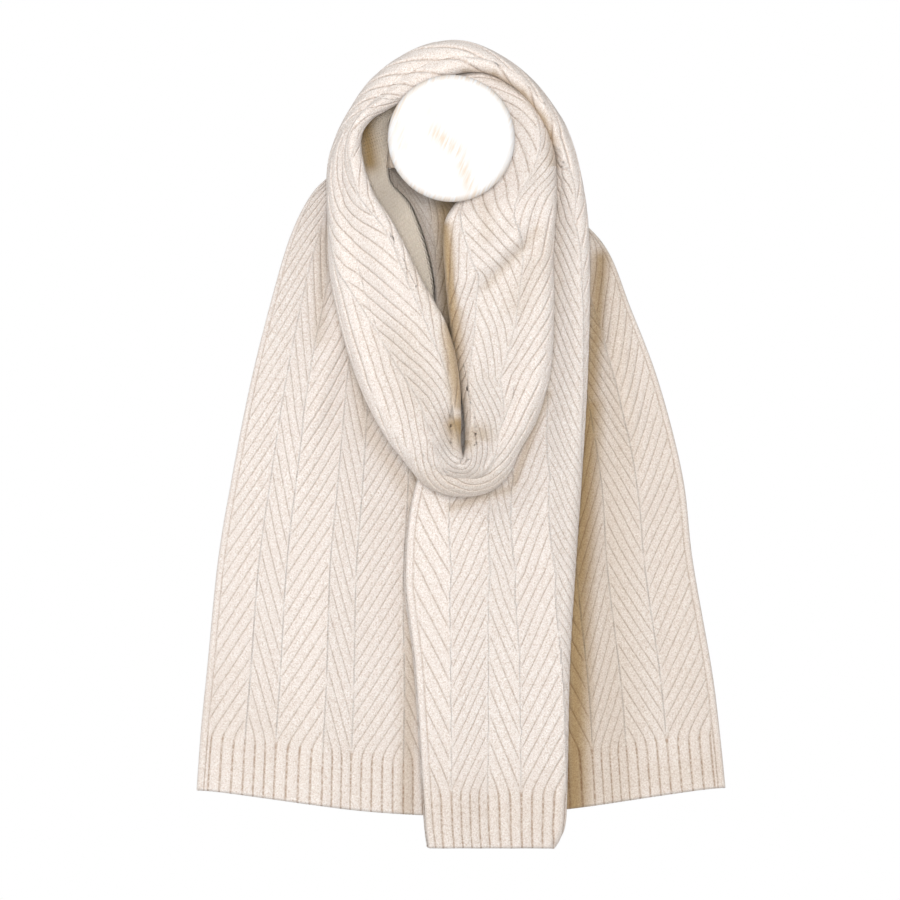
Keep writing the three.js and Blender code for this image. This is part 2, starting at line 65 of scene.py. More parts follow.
# %% The strand's table
STRAND_COLUMNS = ("ox", "oz", "ix", "iz", "outI", "outO", "back", "roll", "reach")
STRAND = {
    "front_hem": [
        (77, -531, -17, -531, 32.5, 31.5, 19.5, 6, -3),
        (85, -516, -19, -516, 32.5, 31.5, 19.5, 6, -3),
    ],
    "front_tail": [
        (87, -486, -21, -486, 32.5, 31.5, 19.5, 6, -3),
        (89, -394, -27, -394, 32.5, 31.5, 19.5, 6, -3),
        (93, -325, -34, -325, 32.5, 32, 19.5, 6, -3),
        (98, -252, -25, -255, 32.5, 32.5, 19.5, 6.5, -4),
        (102, -184, 8, -190, 32.5, 33, 19.5, 7, -5),
    ],
    "over_band": [
        (104, -115, 44, -120, 32.5, 34, 19, 8, -4),
        (102.5, -60, 70, -63, 32.5, 35, 18.5, 8, -2),
        (96, -21, 80.5, -21, 35, 38, 14, 8, -1),
        (88.5, 4, 76.8, 0, 41, 41, 9, 7, 0),
        (79.5, 21, 69.6, 16, 45, 43, 8, 6, 0),
        (61, 44.6, 54.5, 35.6, 47, 44, 8, 6, 0),
        (37, 63, 31.7, 50, 48, 44, 8, 7, 0),
        (10.5, 73.5, 8.5, 52, 48.5, 44, 8, 10, -1),
        (-15, 72, -12, 44.5, 48.5, 43, 8, 12, -1),
        (-40, 61, -27, 37, 48.5, 43, 8, 12, -1),
        (-62, 43, -43, 27, 48.5, 43, 8, 11, 7),
    ],
    "loop_left": [
        (-77, 21, -60, 17, 50, 43, 8.5, 9, 16),
        (-87, 0, -69, 4, 52, 44, 11, 9, 26),
        (-93, -24, -69, -14, 54, 45, 18, 10, 28),
        (-92.5, -60, -61, -40, 57, 48, 20, 11, 21),
        (-90, -105, -45, -66, 60, 50, 21, 12, 26),
        (-81, -148, -25, -106, 64, 53, 25, 12, 18),
        (-68, -187, -5, -143, 68, 56, 33, 12, -4),
        (-52, -219, 3, -178, 72, 60, 39.5, 12, -9),
    ],
    "loop_foot": [
        (-36, -241, 4.5, -207, 75, 64, 39.5, 12, -9),
        (-18, -261, 4.5, -228, 77, 68, 39.5, 12, -9),
        (4, -268, 7, -238.5, 78, 70, 39.5, 12, -8),
        (27, -265, 9.5, -239, 77, 70, 39.5, 12, -8),
        (43, -252, 11.5, -235, 74, 68, 39.5, 12, -8),
    ],
    "loop_right": [
        (52, -232, 12.5, -226, 70, 65, 39.5, 12, -8),
        (65, -208, 12, -208, 65, 62, 39.5, 12, -6),
        (74.5, -172, 8.5, -183, 61, 60, 39.5, 12, -6),
        (77, -130, 3, -150, 58, 58, 39.5, 12, -5),
        (76.5, -85, -1.5, -108, 57, 57, 39.5, 12, -4),
        (79, -45, -2.5, -64, 55, 55, 39.5, 12, -4),
    ],
    "inner_band": [
        (78.5, -20, 16, -36, 48.5, 51, 32, 11, -3),
        (75, 1, 24, -8, 48, 48, 16, 11, -3),
        (66.5, 23.5, 23, 8, 48, 46, 10, 11, -3),
        (48.5, 40.5, 16, 16, 48, 45, 9, 11, -3),
        (25.5, 51.5, 8, 19.6, 48, 44, 9, 10, -2),
        (0, 47, -2, 21, 48, 44, 9, 9, -2),
        (-19, 36.5, -12, 17.4, 48, 44, 9, 8, -1),
        (-34, 23, -20, 9, 47, 43, 9, 7, -1),
        (-45, 2, -23, -1, 46, 42, 9, 8, -1),
        (-48.8, -22, -25, -22, 44, 40, 9, 8, -1),
    ],
}
print("The strand has", sum(map(len, STRAND.values())), "sections")

# %% [markdown]
# ## The sections of the back tail
#
# The back tail is one fanned layer. `lx, lz` is its left edge and `rx, rz` its right edge, from
# the hem up, `out` is its distance from the wall and `sag` how far its middle hangs below the
# line between its edges. A plane bent by a lattice could fan out as well, but two edges in a
# table keep the outline exact.

# %% The back tail's table
BACK_COLUMNS = ("lx", "lz", "rx", "rz", "out", "sag")
BACK_TAIL = {
    "back_hem": [
        (-191, -488, 205.5, -486, 9, 20),
    ],
    "back_tail": [
        (-187.5, -440, 200.5, -438, 9, 20),
        (-183, -396, 195, -396, 9, 17),
        (-175, -316, 181, -316, 9, 12),
        (-165, -256, 173.5, -253, 9, 8),
        (-151.5, -187, 156, -184, 9, 4),
        (-137, -128, 135, -128, 8.5, 0),
        (-121, -73.5, 112.5, -76.5, 8.5, 0),
        (-104, -40, 70, -44, 8.5, 0),
        (-84, -22, 14, -22, 9, 0),
    ],
}
print("The back tail has", sum(map(len, BACK_TAIL.values())), "sections")

# %% [markdown]
# ## Folds
#
# The large folds are laid into the cloth one by one: a line from 1 to 2 as seen from the front,
# its half width, and how far it rises towards the viewer. A bell curve across the line makes each
# a soft ridge or trough. They are uneven in length, width and depth, as real folds are. A cloth
# simulation makes folds by itself, but not in the places where the photograph shows them.

# %% The folds' tables
LOOP_FOLDS = [
    (70, -30, 47, -76, 8, 4),
    (47, -76, 8, -108, 8, 4),
    (66, -62, 26, -112, 7, -3),
    (-74, -70, -52, -150, 12, -3),
    (-52, -90, -22, -170, 12, 3),
    (-9, -222, -3, -214, 11, -9),
    (-26, -240, 30, -249, 8, 3),
    (30, -249, 60, -206, 8, 3),
    (26, -222, 50, -196, 10, -4),
    (-80, -70, -74, -118, 6, 1.2),
    (24, -140, 14, -190, 6, 1.6),
    (56, -120, 44, -186, 9, -1.5),
]
BACK_FOLDS = [
    (-94, -60, -90, -140, 8, -3.5),
    (-82, -130, -104, -206, 9, 3.5),
    (-104, -206, -116, -280, 12, 2.5),
    (-150, -330, -158, -480, 22, 2),
    (-60, -300, -70, -490, 22, -2),
    (110, -80, 117, -150, 7, -3.5),
    (108, -84, 133, -209, 9, 3.5),
    (133, -209, 144, -260, 11, 2),
    (118, -320, 124, -480, 20, -2),
    (168, -340, 176, -480, 18, 2),
    (-128, -200, -140, -300, 10, -1.4),
    (-98, -340, -108, -430, 11, 1.3),
    (-176, -400, -182, -470, 7, -1.2),
    (150, -290, 158, -390, 10, -1.5),
    (20, -120, 30, -330, 26, 1.6),
]
FRONT_FOLDS = [
    (62, -300, 54, -500, 10, -1.4),
    (20, -280, 8, -430, 14, 1.3),
    (79, -240, 83, -470, 9, 1.0),
    (-10, -340, -4, -500, 8, -1.0),
    (88, -110, 78, -240, 8, -1.3),
    (58, -140, 36, -270, 10, 1.1),
]
print("Folds by hand:", len(LOOP_FOLDS), "in the loop,", len(BACK_FOLDS), "in the back tail and",
      len(FRONT_FOLDS), "in the front tail")

# %% [markdown]
# ## Warm shade
#
# Light that reaches a deep fold has met wool many times, so a fold is golden brown and not
# grey. Here that shade is painted into the knit's colour. An ambient occlusion node could find
# the folds, but it would make them all alike. The painted shade is laid one by one, as the folds
# are: a line, its half width and its depth.

# %% The warm shade's tables
BEHIND_SHADE = [
    (112, -90, 103, -200, 9, 0.9),
    (103, -200, 96, -330, 13, 1.0),
    (94, -330, 92, -500, 15, 1.0),
    (112, -60, 128, -240, 22, 0.3),
    (114, -240, 120, -500, 36, 0.3),
    (150, -180, 185, -500, 45, 0.16),
    (-26, -250, -34, -520, 7, 0.4),
    (-90, -70, -62, -220, 7, 0.3),
    (-60, -220, -24, -276, 7, 0.28),
    (-4, -50, 0, -130, 11, 0.9),
    (-44, -26, -18, -96, 14, 0.35),
    (0, -128, 6, -225, 8, 0.9),
    (-96, -70, -100, -150, 5, 0.25),
    (-180, -430, -60, -480, 40, 0.07),
    (130, -480, 200, -470, 20, 0.22),
]
FRONT_SHADE = [
    (80, -30, 80, -110, 4, 0.2),
    (80, -110, 72, -190, 3, 0.2),
    (-20, -505, 90, -505, 26, 0.14),
    (72, -190, 46, -258, 3.5, 0.5),
    (44, -262, 0, -276, 4, 0.4),
    (50, 62, 92, 16, 7, 0.3),
    (10, 52, 32, 50, 2.5, 0.5),
    (32, 50, 54, 36, 2.5, 0.7),
    (54, 36, 70, 16, 2.5, 0.8),
    (70, 16, 77, 0, 2.5, 0.8),
    (77, 0, 80, -21, 2.5, 0.7),
    (99, -240, 88, -500, 3, 0.25),
]
LEFT_SHADE = [
    (-4, -140, 5, -200, 5, 0.85),
    (4, -214, 9, -226, 8, 1.0),
    (-30, -96, -8, -136, 6, 0.2),
    (-36, -150, -22, -196, 16, 0.15),
    (-20, -256, 40, -260, 12, 0.2),
]
RIGHT_SHADE = [
    (-3, -66, 2, -130, 4, 0.95),
    (2, -130, 8, -214, 6, 0.9),
    (10, -222, 22, -222, 8, 0.5),
    (64, -70, 26, -110, 5, 0.28),
    (72, -80, 48, -124, 12, 0.16),
    (26, -52, 27, -74, 6, 0.2),
    (80, -20, 79, -190, 4, 0.4),
    (74, -196, 52, -240, 6, 0.25),
]
BAND_SHADE = [
    (74, 4, 78, -60, 5, 0.45),
    (28, 50, 54, 36, 4, 0.7),
    (54, 36, 72, 14, 4, 0.8),
    (44, 12, 40, -20, 4, 0.2),
    (-48, 0, -47, -22, 8, 0.6),
]
# The reverse of the loop's left band, which shows beside the disc.
INSIDE_SHADE = [(-66, 26, -61, -18, 7, 1.0)]

SHADES = {
    "front_hem": FRONT_SHADE, "front_tail": FRONT_SHADE, "over_band": FRONT_SHADE,
    "loop_left": LEFT_SHADE, "loop_foot": LEFT_SHADE, "loop_right": RIGHT_SHADE,
    "inner_band": RIGHT_SHADE + BAND_SHADE, "back_hem": BEHIND_SHADE, "back_tail": BEHIND_SHADE,
}
for name, shades in SHADES.items():
    print(f"{name}: {len(shades)} warm shades")


# %% The bell curve of a fold or a shade
def smooth(value, low, high):
    """0 below low, 1 above high, and the smooth S-curve 3t^2 - 2t^3 in between."""
    t = np.clip((value - low) / (high - low), 0, 1)
    return t * t * (3 - 2 * t)


def fold_rise(folds, x, z):
    """The sum over the folds of rise * exp(-(distance to the fold's line / half)^2)."""
    total = np.zeros_like(x)
    for x1, z1, x2, z2, half, rise in folds:
        dx, dz = x2 - x1, z2 - z1
        share = np.clip(((x - x1) * dx + (z - z1) * dz) / (dx * dx + dz * dz), 0, 1)
        away = np.hypot(x - x1 - share * dx, z - z1 - share * dz)
        total += rise * np.exp(-((away / half) ** 2))
    return total


def shade_depth(shades, x, z):
    """The deepest of the shades at a place, each a bell curve across its line."""
    return np.max([fold_rise([shade], x, z) for shade in shades], axis=0)


# %% [markdown]
# ## From a table to a strip of cloth
#
# A smooth curve through the rows gives the section anywhere between them. The strip is then
# measured along its middle, so that `v` is a length of cloth in millimetres from the hem, and
# the ribs keep their pitch however the rows are spaced. A curve object would bend a flat strip
# along a path too, but it doesn't give the lengths that the ribs need.

# %% Strips
SAMPLES_PER_ROW = 16


def through_rows(table, t):
    """The table's columns at places t, on the cubic curve that passes through its rows."""
    last = len(table) - 1
    t = np.clip(t, 0, last)
    i = np.minimum(t.astype(int), last - 1)
    f = (t - i)[:, None]
    before, start, end, after = (table[np.clip(i + k, 0, last)] for k in (-1, 0, 1, 2))
    bend = 2 * before - 5 * start + 4 * end - after
    turn = 3 * (start - end) + after - before
    return start + 0.5 * f * (end - before + f * (bend + f * turn))


class Strip:
    """A strip of cloth along a table: its sections by length, and the length of each seam."""

    def __init__(self, columns, stretches, middle, pull=((0, 1),)):
        self.columns = columns
        self.table = np.array([row for rows in stretches.values() for row in rows], float)
        self.row_places = np.arange((len(self.table) - 1) * SAMPLES_PER_ROW + 1) / SAMPLES_PER_ROW
        path = middle(self.named(self.row_places))
        steps = np.linalg.norm(np.diff(path, axis=0), axis=1)
        self.lengths = np.concatenate([[0], np.cumsum(steps)])
        pulled = np.interp(self.row_places[1:], *zip(*pull))
        self.knit_lengths = np.concatenate([[0], np.cumsum(steps / pulled)])
        self.seams = {}
        first = 0
        for name, rows in stretches.items():
            last = min(first + len(rows), len(self.table) - 1)
            self.seams[name] = tuple(self.lengths[np.array([first, last]) * SAMPLES_PER_ROW])
            first += len(rows)

    def named(self, row_place):
        """The table's columns by name, each as a column of a grid."""
        return dict(zip(self.columns, through_rows(self.table, row_place).T[:, :, None]))

    def row_at(self, v):
        """The place among the table's rows at each length v of the strip."""
        return np.interp(v, self.lengths, self.row_places)

    def knit_length(self, v):
        """The length that the knit had before it was pulled, at each length v of the strip."""
        return np.interp(v, self.lengths, self.knit_lengths)

    def section(self, v):
        """The named sizes of the section at each length v, as columns of a grid."""
        return self.named(self.row_at(v))


def stack(x, y, z):
    """Points from three grids of coordinates."""
    return np.stack(np.broadcast_arrays(x, y, z), axis=-1)


def strand_middle(row):
    """The middle between the section's outer and inner edge."""
    points = stack((row["ox"] + row["ix"]) / 2, -(row["outO"] + row["outI"]) / 2,
                   (row["oz"] + row["iz"]) / 2)
    return points[:, 0]


def back_middle(row):
    """The middle between the back tail's left and right edge."""
    return stack((row["lx"] + row["rx"]) / 2, -row["out"], (row["lz"] + row["rz"]) / 2)[:, 0]


# %% The two strips
# The strand's weight pulls its knit out where it goes over the stem and down the loop: a place
# among the rows, and how many times longer the knit is there.
STRAND_PULL = ((0, 1.0), (5, 1.0), (8, 1.3), (10, 1.8), (24, 1.8), (27, 1.4), (30, 1.15),
               (36, 1.2), (38, 1.5), (46, 1.5))

strand = Strip(STRAND_COLUMNS, STRAND, strand_middle, STRAND_PULL)
back_strip = Strip(BACK_COLUMNS, BACK_TAIL, back_middle)
for cloth in (strand, back_strip):
    for name, (start, end) in cloth.seams.items():
        print(f"{name}: from {start:.0f} to {end:.0f} mm along the cloth")

# %% [markdown]
# ## The strand's surface
#
# `place` runs across the section: from 0 to 1 over the face, which is a curled inner edge, the
# front layer and the rounded outer edge, from 1 to 2 over the back layer, and on to 6 over the
# layers that are rolled up inside the front tail. The rolled layers could be left out, but the
# open end of the hem shows them, and they are what makes the tail look thick.

# %% The section's layers
WALL = 3.0
RIB_HEIGHT = 1.4
SKIN = WALL / 2 + RIB_HEIGHT
LAYER_PITCH = 4.3
CURL_ANGLE = np.radians(150)
SHORTEST_BACK = 2
ROLLED_START = 5
ROLLED_INSET = 4


def strand_section(row, place, curl):
    """
    Inward distance from the outer edge, distance from the wall, and length of cloth from the
    inner edge. The face is an arc of radius curl, a straight line and half an ellipse, by arc
    length. The layers behind are straight lines joined by half circles.
    """
    width = np.hypot(row["ox"] - row["ix"], row["oz"] - row["iz"])
    roll_start = SKIN + row["roll"]
    back_end = np.maximum(width + row["reach"], roll_start + SHORTEST_BACK)
    inner_end = roll_start + ROLLED_START
    turn = LAYER_PITCH / 2
    flat = np.hypot(width - curl - roll_start, row["outI"] - row["outO"])
    depth = (row["outO"] - row["back"]) / 2
    rounded = np.pi * np.sqrt((row["roll"] ** 2 + depth ** 2) / 2)
    curled = curl * CURL_ANGLE
    face = curled + flat + rounded
    s = np.clip(place, 0, 1) * face

    turned = np.clip(curled - s, 0, None) / np.maximum(curl, 1e-6)
    share = np.clip((s - curled) / flat, 0, 1)
    angle = np.pi * np.clip((s - curled - flat) / rounded, 0, 1)
    inward = (width - curl + curl * np.sin(turned) - share * (width - curl - roll_start)
              - row["roll"] * np.sin(angle))
    ease = share * share * (3 - 2 * share)
    out = (row["outI"] - curl * (1 - np.cos(turned)) + (row["outO"] - row["outI"]) * ease
           - depth * (1 - np.cos(angle)))
    on_front = (1 - share) * (turned == 0)

    f = np.clip(place - np.floor(place), 0, 1)
    arc = np.pi * f
    layers = [
        (1, roll_start + f * (back_end - roll_start), row["back"] + 0 * f,
         f * (back_end - roll_start)),
        (2, back_end + turn * np.sin(arc), row["back"] + turn * (1 - np.cos(arc)), turn * arc),
        (3, back_end + f * (inner_end - back_end), row["back"] + 2 * turn + 0 * f,
         f * (back_end - inner_end)),
        (4, inner_end - turn * np.sin(arc), row["back"] + turn * (3 - np.cos(arc)), turn * arc),
        (5, inner_end + f * (width - ROLLED_INSET - inner_end), row["back"] + 4 * turn + 0 * f,
         f * (width - ROLLED_INSET - inner_end)),
    ]
    start = face
    for number, layer_inward, layer_out, length in layers:
        here = (place > number) if number == 5 else (place > number) & (place <= number + 1)
        inward = np.where(here, layer_inward, inward)
        out = np.where(here, layer_out, out)
        on_front = np.where(place > number, 0, on_front)
        s = np.where(here, start + length, s)
        start = start + np.max(np.abs(length), axis=1, keepdims=True)
    return inward, out, s, on_front, width, curled - curl


# %% A point of the strand
BEAD = 2.9
BEAD_DROP = 0.4
BEAD_HEIGHTS = (0.5, 4)
CURL_RADIUS = 4.5
CURL_ROWS = (6.5, 8.5)
# The loop's folds begin where its front layer is LOOP_OUT from the wall, and the front tail's
# end between FRONT_ROWS. Both fade out near the layer's rounded edge.
LOOP_OUT = 50
LOOP_OUT_BLEND = 5
FRONT_ROWS = (7, 9)
FOLD_FADE = 4


def beaded(s, v):
    """How far the cast-on edge's beads hang below a straight hem: drop * |sin(pi s / bead)|."""
    beads = BEAD_DROP * np.abs(np.sin(np.pi * s / BEAD))
    return beads * (1 - smooth(v, *BEAD_HEIGHTS)[:, None])


def strand_point(place, v):
    """
    Points of the strand's middle surface, v down the grid and place across it, with the
    distance of each from the inner edge along the cloth.
    """
    row = strand.section(v)
    curl = CURL_RADIUS * smooth(strand.row_at(v), *CURL_ROWS)[:, None]
    inward, out, s, on_front, width, before_edge = strand_section(row, place[None, :], curl)
    x = row["ox"] + (row["ix"] - row["ox"]) * inward / width
    z = row["oz"] + (row["iz"] - row["oz"]) * inward / width
    on_loop = smooth(row["outI"], LOOP_OUT, LOOP_OUT + LOOP_OUT_BLEND)
    on_tail = 1 - smooth(strand.row_at(v), *FRONT_ROWS)[:, None]
    lifted = fold_rise(LOOP_FOLDS, x, z) * on_loop + fold_rise(FRONT_FOLDS, x, z) * on_tail
    lifted = lifted * np.minimum(1, on_front * FOLD_FADE)
    s = s - before_edge
    return stack(x, -(out + lifted), z - beaded(s, v)), s


# %% [markdown]
# ## The back tail's surface
#
# The back tail is a single layer, so `place` only runs from its left edge to its right edge. It
# hangs lower in its middle, like the hem of a cape. It uses the same kind of function as the
# strand, so that one way of making walls and ribs does for both.

# %% A point of the back tail
BACK_WIDTH = 400.0
SAG_POWER = 1.5


def back_point(place, v):
    """
    Points of the back tail's middle surface, and their distances from its left edge. A straight
    line joins the edges, and its middle hangs down by sag * (4 place (1 - place))^SAG_POWER.
    """
    row = back_strip.section(v)
    place = place[None, :]
    hang = row["sag"] * (4 * np.clip(place * (1 - place), 0, None)) ** SAG_POWER
    x = row["lx"] + (row["rx"] - row["lx"]) * place
    z = row["lz"] + (row["rz"] - row["lz"]) * place - hang
    s = place * BACK_WIDTH + 0 * x
    return stack(x, -(row["out"] + fold_rise(BACK_FOLDS, x, z)), z - beaded(s, v)), s


# %% [markdown]
# ## The chevron
#
# A rib is a broad rounded ridge of knit with a narrow groove on each side. The ribs slant up to
# a line, turn there, and slant down to the next line. Between two lines lies a flank, and each
# flank has its own whole number of ribs, about one to eight millimetres. A bump map could draw
# them, but real ribs catch the light at the edge of every fold, so they are in the mesh.

# %% The lines where the slant turns
# A row is a place among the strand's sections, and then seven lines' distances from the inner
# edge, in millimetres: peaks and valleys by turns.
STRAND_LINES = np.array([
    (0, -5, 19, 46, 70, 100, 126, 150),
    (2, -4, 21, 48, 73, 106, 132, 156),
    (3, -3, 27, 54.5, 78, 109, 134, 158),
    (4, 3, 34.5, 63, 82, 112, 137, 162),
    (5, -2, 26, 56, 71, 99, 123, 148),
    (6, -34, -7, 23, 38, 64, 90, 116),
    (7, -72, -46, -20, 2, 27, 53, 78),
    (8, -98, -74, -50, -26, -2, 22, 50),
    (9, -98, -76, -54, -34, -14, 9, 46),
    (10, -98, -78, -58, -40, -24, -3, 42),
    (12, -98, -80, -62, -44, -28, -5, 41),
    (16, -96, -78, -60, -44, -28, -5, 43),
    (17, -92, -74, -56, -38, -20, 4, 46),
    (18, -86, -66, -48, -30, -8, 14, 50),
    (20, -76, -56, -36, -18, 6, 28, 60),
    (21, -74, -54, -34, -14, 8, 42, 72),
    (22, -81, -60, -39, -20, 5, 53, 82),
    (23, -78, -57, -36, -17, 8, 48, 78),
    (24, -74, -53, -32, -12, 12, 45, 74),
    (25, -76, -56, -36, -17, 6, 33, 60),
    (26, -74, -55, -36, -18, 4, 26, 48),
    (28, -76, -58, -40, -22, -2, 15, 36),
    (30, -75, -57, -39, -21, -1, 19, 40),
    (32, -75, -56, -37, -18, 3, 26.6, 50),
    (33, -78, -58, -38, -18, 4, 28, 60),
    (34, -68, -47, -26, -6, 15.5, 46.6, 78),
    (35, -66, -46, -26, -4, 22, 58, 88),
    (36, -70, -52, -34, -14, 10, 52, 80),
    (37, -76, -58, -40, -22, -3, 46, 74),
    (40, -72, -54, -38, -22, -4, 38, 62),
    (43, -70, -54, -38, -22, -4, 36, 60),
    (46, -70, -54, -38, -22, -4, 34, 56),
], float)
STRAND_RIBS = (3, 4, 3, 4, 5, 4)
BACK_LINES = BACK_WIDTH * np.array([
    0, 0.086, 0.145, 0.236, 0.29, 0.391, 0.464, 0.536, 0.609, 0.682, 0.754, 0.82, 0.898, 1,
])
BACK_RIBS = (4, 3, 4, 3, 5, 4, 3, 4, 4, 3, 4, 4, 5)
print("Ribs across the strand:", sum(STRAND_RIBS), "and across the back tail:", sum(BACK_RIBS))

# %% [markdown]
# ## From the hem's upright ribs to the slanting ones
#
# In flank k the grooves lie where this `phase` is whole: ribs * (share of the flank's width -
# slope's sign * height / RISE). The height stays still inside the hem, so there the grooves are
# upright and evenly spaced. Above it every rib bends over and climbs RISE along each flank. Two
# patterns could be faded into each other, but with a single phase each rib of the hem goes on
# as one slanting rib, as it does on the needles.

# %% The phase of the ribs
HEM_HEIGHT = 43.0
HEM_BLEND = 2.5
HEM_TURN = 3
RISE = 60.0
FAR_FROM_LINES = 99.0
# The strand's own edge shows only up to these rows. Above them it is rolled out of sight.
SELVEDGE_ROWS = (5, 6)
NO_SELVEDGE = 40


def chevron(s, height, lines, ribs, first_climbs):
    """The ribs' phase and the distance to the nearest line, from the formula above."""
    phase = np.zeros_like(s)
    line_gap = np.full_like(s, FAR_FROM_LINES)
    counted = 0
    climbs = first_climbs
    for k, count in enumerate(ribs):
        low, high = lines[:, k, None], lines[:, k + 1, None]
        own = counted + count * ((s - low) / (high - low) - climbs * height / RISE)
        phase = np.where((s >= low) | (k == 0), own, phase)
        line_gap = np.minimum(line_gap, np.minimum(np.abs(s - low), np.abs(s - high)))
        counted += count
        climbs = -climbs
    return phase, line_gap


def height_above_hem(u):
    """How far the slanting ribs have climbed: the ramp is rounded by ln(1 + e^x)."""
    return HEM_BLEND * np.logaddexp(0, (u - HEM_HEIGHT) / HEM_BLEND)


def strand_pattern(s, v):
    """The knit's own coordinates on the strand: phase, line gap, height, selvedge and s."""
    row_place = strand.row_at(v)
    u = strand.knit_length(v)[:, None]
    lines = np.stack([np.interp(row_place, STRAND_LINES[:, 0], column)
                      for column in STRAND_LINES[:, 1:].T], axis=1)
    selvedge = s + NO_SELVEDGE * smooth(row_place, *SELVEDGE_ROWS)[:, None]
    phase, line_gap = chevron(s, height_above_hem(u), lines, STRAND_RIBS, -1)
    return phase, line_gap, u + 0 * s, selvedge, s


def back_pattern(s, v):
    """The same coordinates on the back tail, whose lines are straight."""
    lines = np.tile(BACK_LINES, (len(v), 1))
    u = back_strip.knit_length(v)[:, None]
    phase, line_gap = chevron(s, height_above_hem(u), lines, BACK_RIBS, 1)
    return phase, line_gap, u + 0 * s, np.minimum(s, BACK_WIDTH - s), s


def above_hem(u):
    """0 in the hem and 1 above it."""
    return smooth(u, HEM_HEIGHT - HEM_TURN, HEM_HEIGHT + HEM_TURN)


# %% The relief of the ribs
GROOVE_SHARE = 0.10
HEM_GROOVE_SHARE = 0.19
GROOVE_DEPTH = 0.8
SHALLOWER_ABOVE = 0.05
TURN_FADE = (0.6, 2.6)
SELVEDGE = 5.5
SELVEDGE_BLEND = 1
SELVEDGE_GROOVE = 0.8
SELVEDGE_DEPTH = 0.7
CAST_ON = 2.4
CAST_ON_BLEND = 0.8
BEAD_LOW, BEAD_RISE = 0.55, 0.45


def rib_relief(phase, line_gap, u, selvedge, s):
    """
    1 on a rib and 0 in a groove, which is exp(-(distance from it / its half width)^2). Grooves
    fade beside the lines where the slant turns. The cloth's edge is one upright rib with a
    groove beside it, and the hem ends in a row of small beads.
    """
    above = above_hem(u)
    from_groove = np.abs(phase - np.round(phase))
    half_width = HEM_GROOVE_SHARE + (GROOVE_SHARE - HEM_GROOVE_SHARE) * above
    at_line = 1 - smooth(line_gap, *TURN_FADE)
    groove = np.exp(-((from_groove / half_width) ** 2)) * (1 - above * at_line)
    inside = smooth(selvedge, SELVEDGE - SELVEDGE_BLEND, SELVEDGE + SELVEDGE_BLEND)
    edge = np.exp(-(((selvedge - SELVEDGE) / SELVEDGE_GROOVE) ** 2))
    depth = GROOVE_DEPTH - SHALLOWER_ABOVE * above
    ribs = 1 - np.maximum(depth * groove * inside, SELVEDGE_DEPTH * edge)
    beads = BEAD_LOW + BEAD_RISE * np.abs(np.sin(np.pi * s / BEAD))
    cast_on = 1 - smooth(u, CAST_ON - CAST_ON_BLEND, CAST_ON + CAST_ON_BLEND)
    return ribs + (beads - ribs) * cast_on


print(f"Grooves are {GROOVE_DEPTH * RIB_HEIGHT:.1f} mm deep")

# %% [markdown]
# ## A closed wall of cloth
#
# A sheet could be one surface with a Solidify modifier. Here the outer and the inner face are
# two grids, because only the outer one needs a fine mesh for its ribs. The four borders are
# closed by strips of triangles that take the nearer next point from either side.

# %% Normals, grids and borders
EDGE_ROUND = 1.6
EDGE_LEFT = 0.12
NORMAL_STEP_ACROSS = 0.002
NORMAL_STEP_ALONG = 0.4


def normals(point, place, v):
    """
    The normal of the middle surface, across x along, from differences on both sides, and how
    much of its length the cloth keeps where it is gathered.
    """
    dc, dv = NORMAL_STEP_ACROSS, NORMAL_STEP_ALONG
    across = point(place + dc, v)[0] - point(place - dc, v)[0]
    along = point(place, v + dv)[0] - point(place, v - dv)[0]
    normal = np.cross(across, along)
    size = np.linalg.norm(normal, axis=-1, keepdims=True)
    gathered = np.minimum(1, np.linalg.norm(along, axis=-1) / (2 * dv))
    return normal / np.maximum(size, 1e-9), gathered


def grid_triangles(ids):
    """Two triangles for each cell of a grid of point numbers, facing across x along."""
    a, b, c, d = ids[:-1, :-1], ids[:-1, 1:], ids[1:, 1:], ids[1:, :-1]
    return np.concatenate([np.stack([a, b, c], -1).reshape(-1, 3),
                           np.stack([a, c, d], -1).reshape(-1, 3)])


def zip_border(ids_a, at_a, ids_b, at_b):
    """Closes the gap between two rows of points: at each step the nearer next point is taken."""
    steps = np.concatenate([at_a[1:], at_b[1:]])
    from_a = np.concatenate([np.ones(len(at_a) - 1, bool), np.zeros(len(at_b) - 1, bool)])
    order = np.argsort(steps, kind="stable")
    from_a = from_a[order]
    i, j = np.cumsum(from_a), np.cumsum(~from_a)
    third = np.where(from_a, ids_a[i], ids_b[j])
    return np.stack([ids_a[i - from_a], ids_b[j - ~from_a], third], -1)


def edge_taper(distance):
    """A round edge: the wall's thickness follows a half circle within EDGE_ROUND of the edge."""
    t = np.clip(distance / EDGE_ROUND, 0, 1)
    return np.maximum(np.sqrt(1 - (1 - t) ** 2), EDGE_LEFT)


# %% The wall of one stretch
NO_END = 1e3


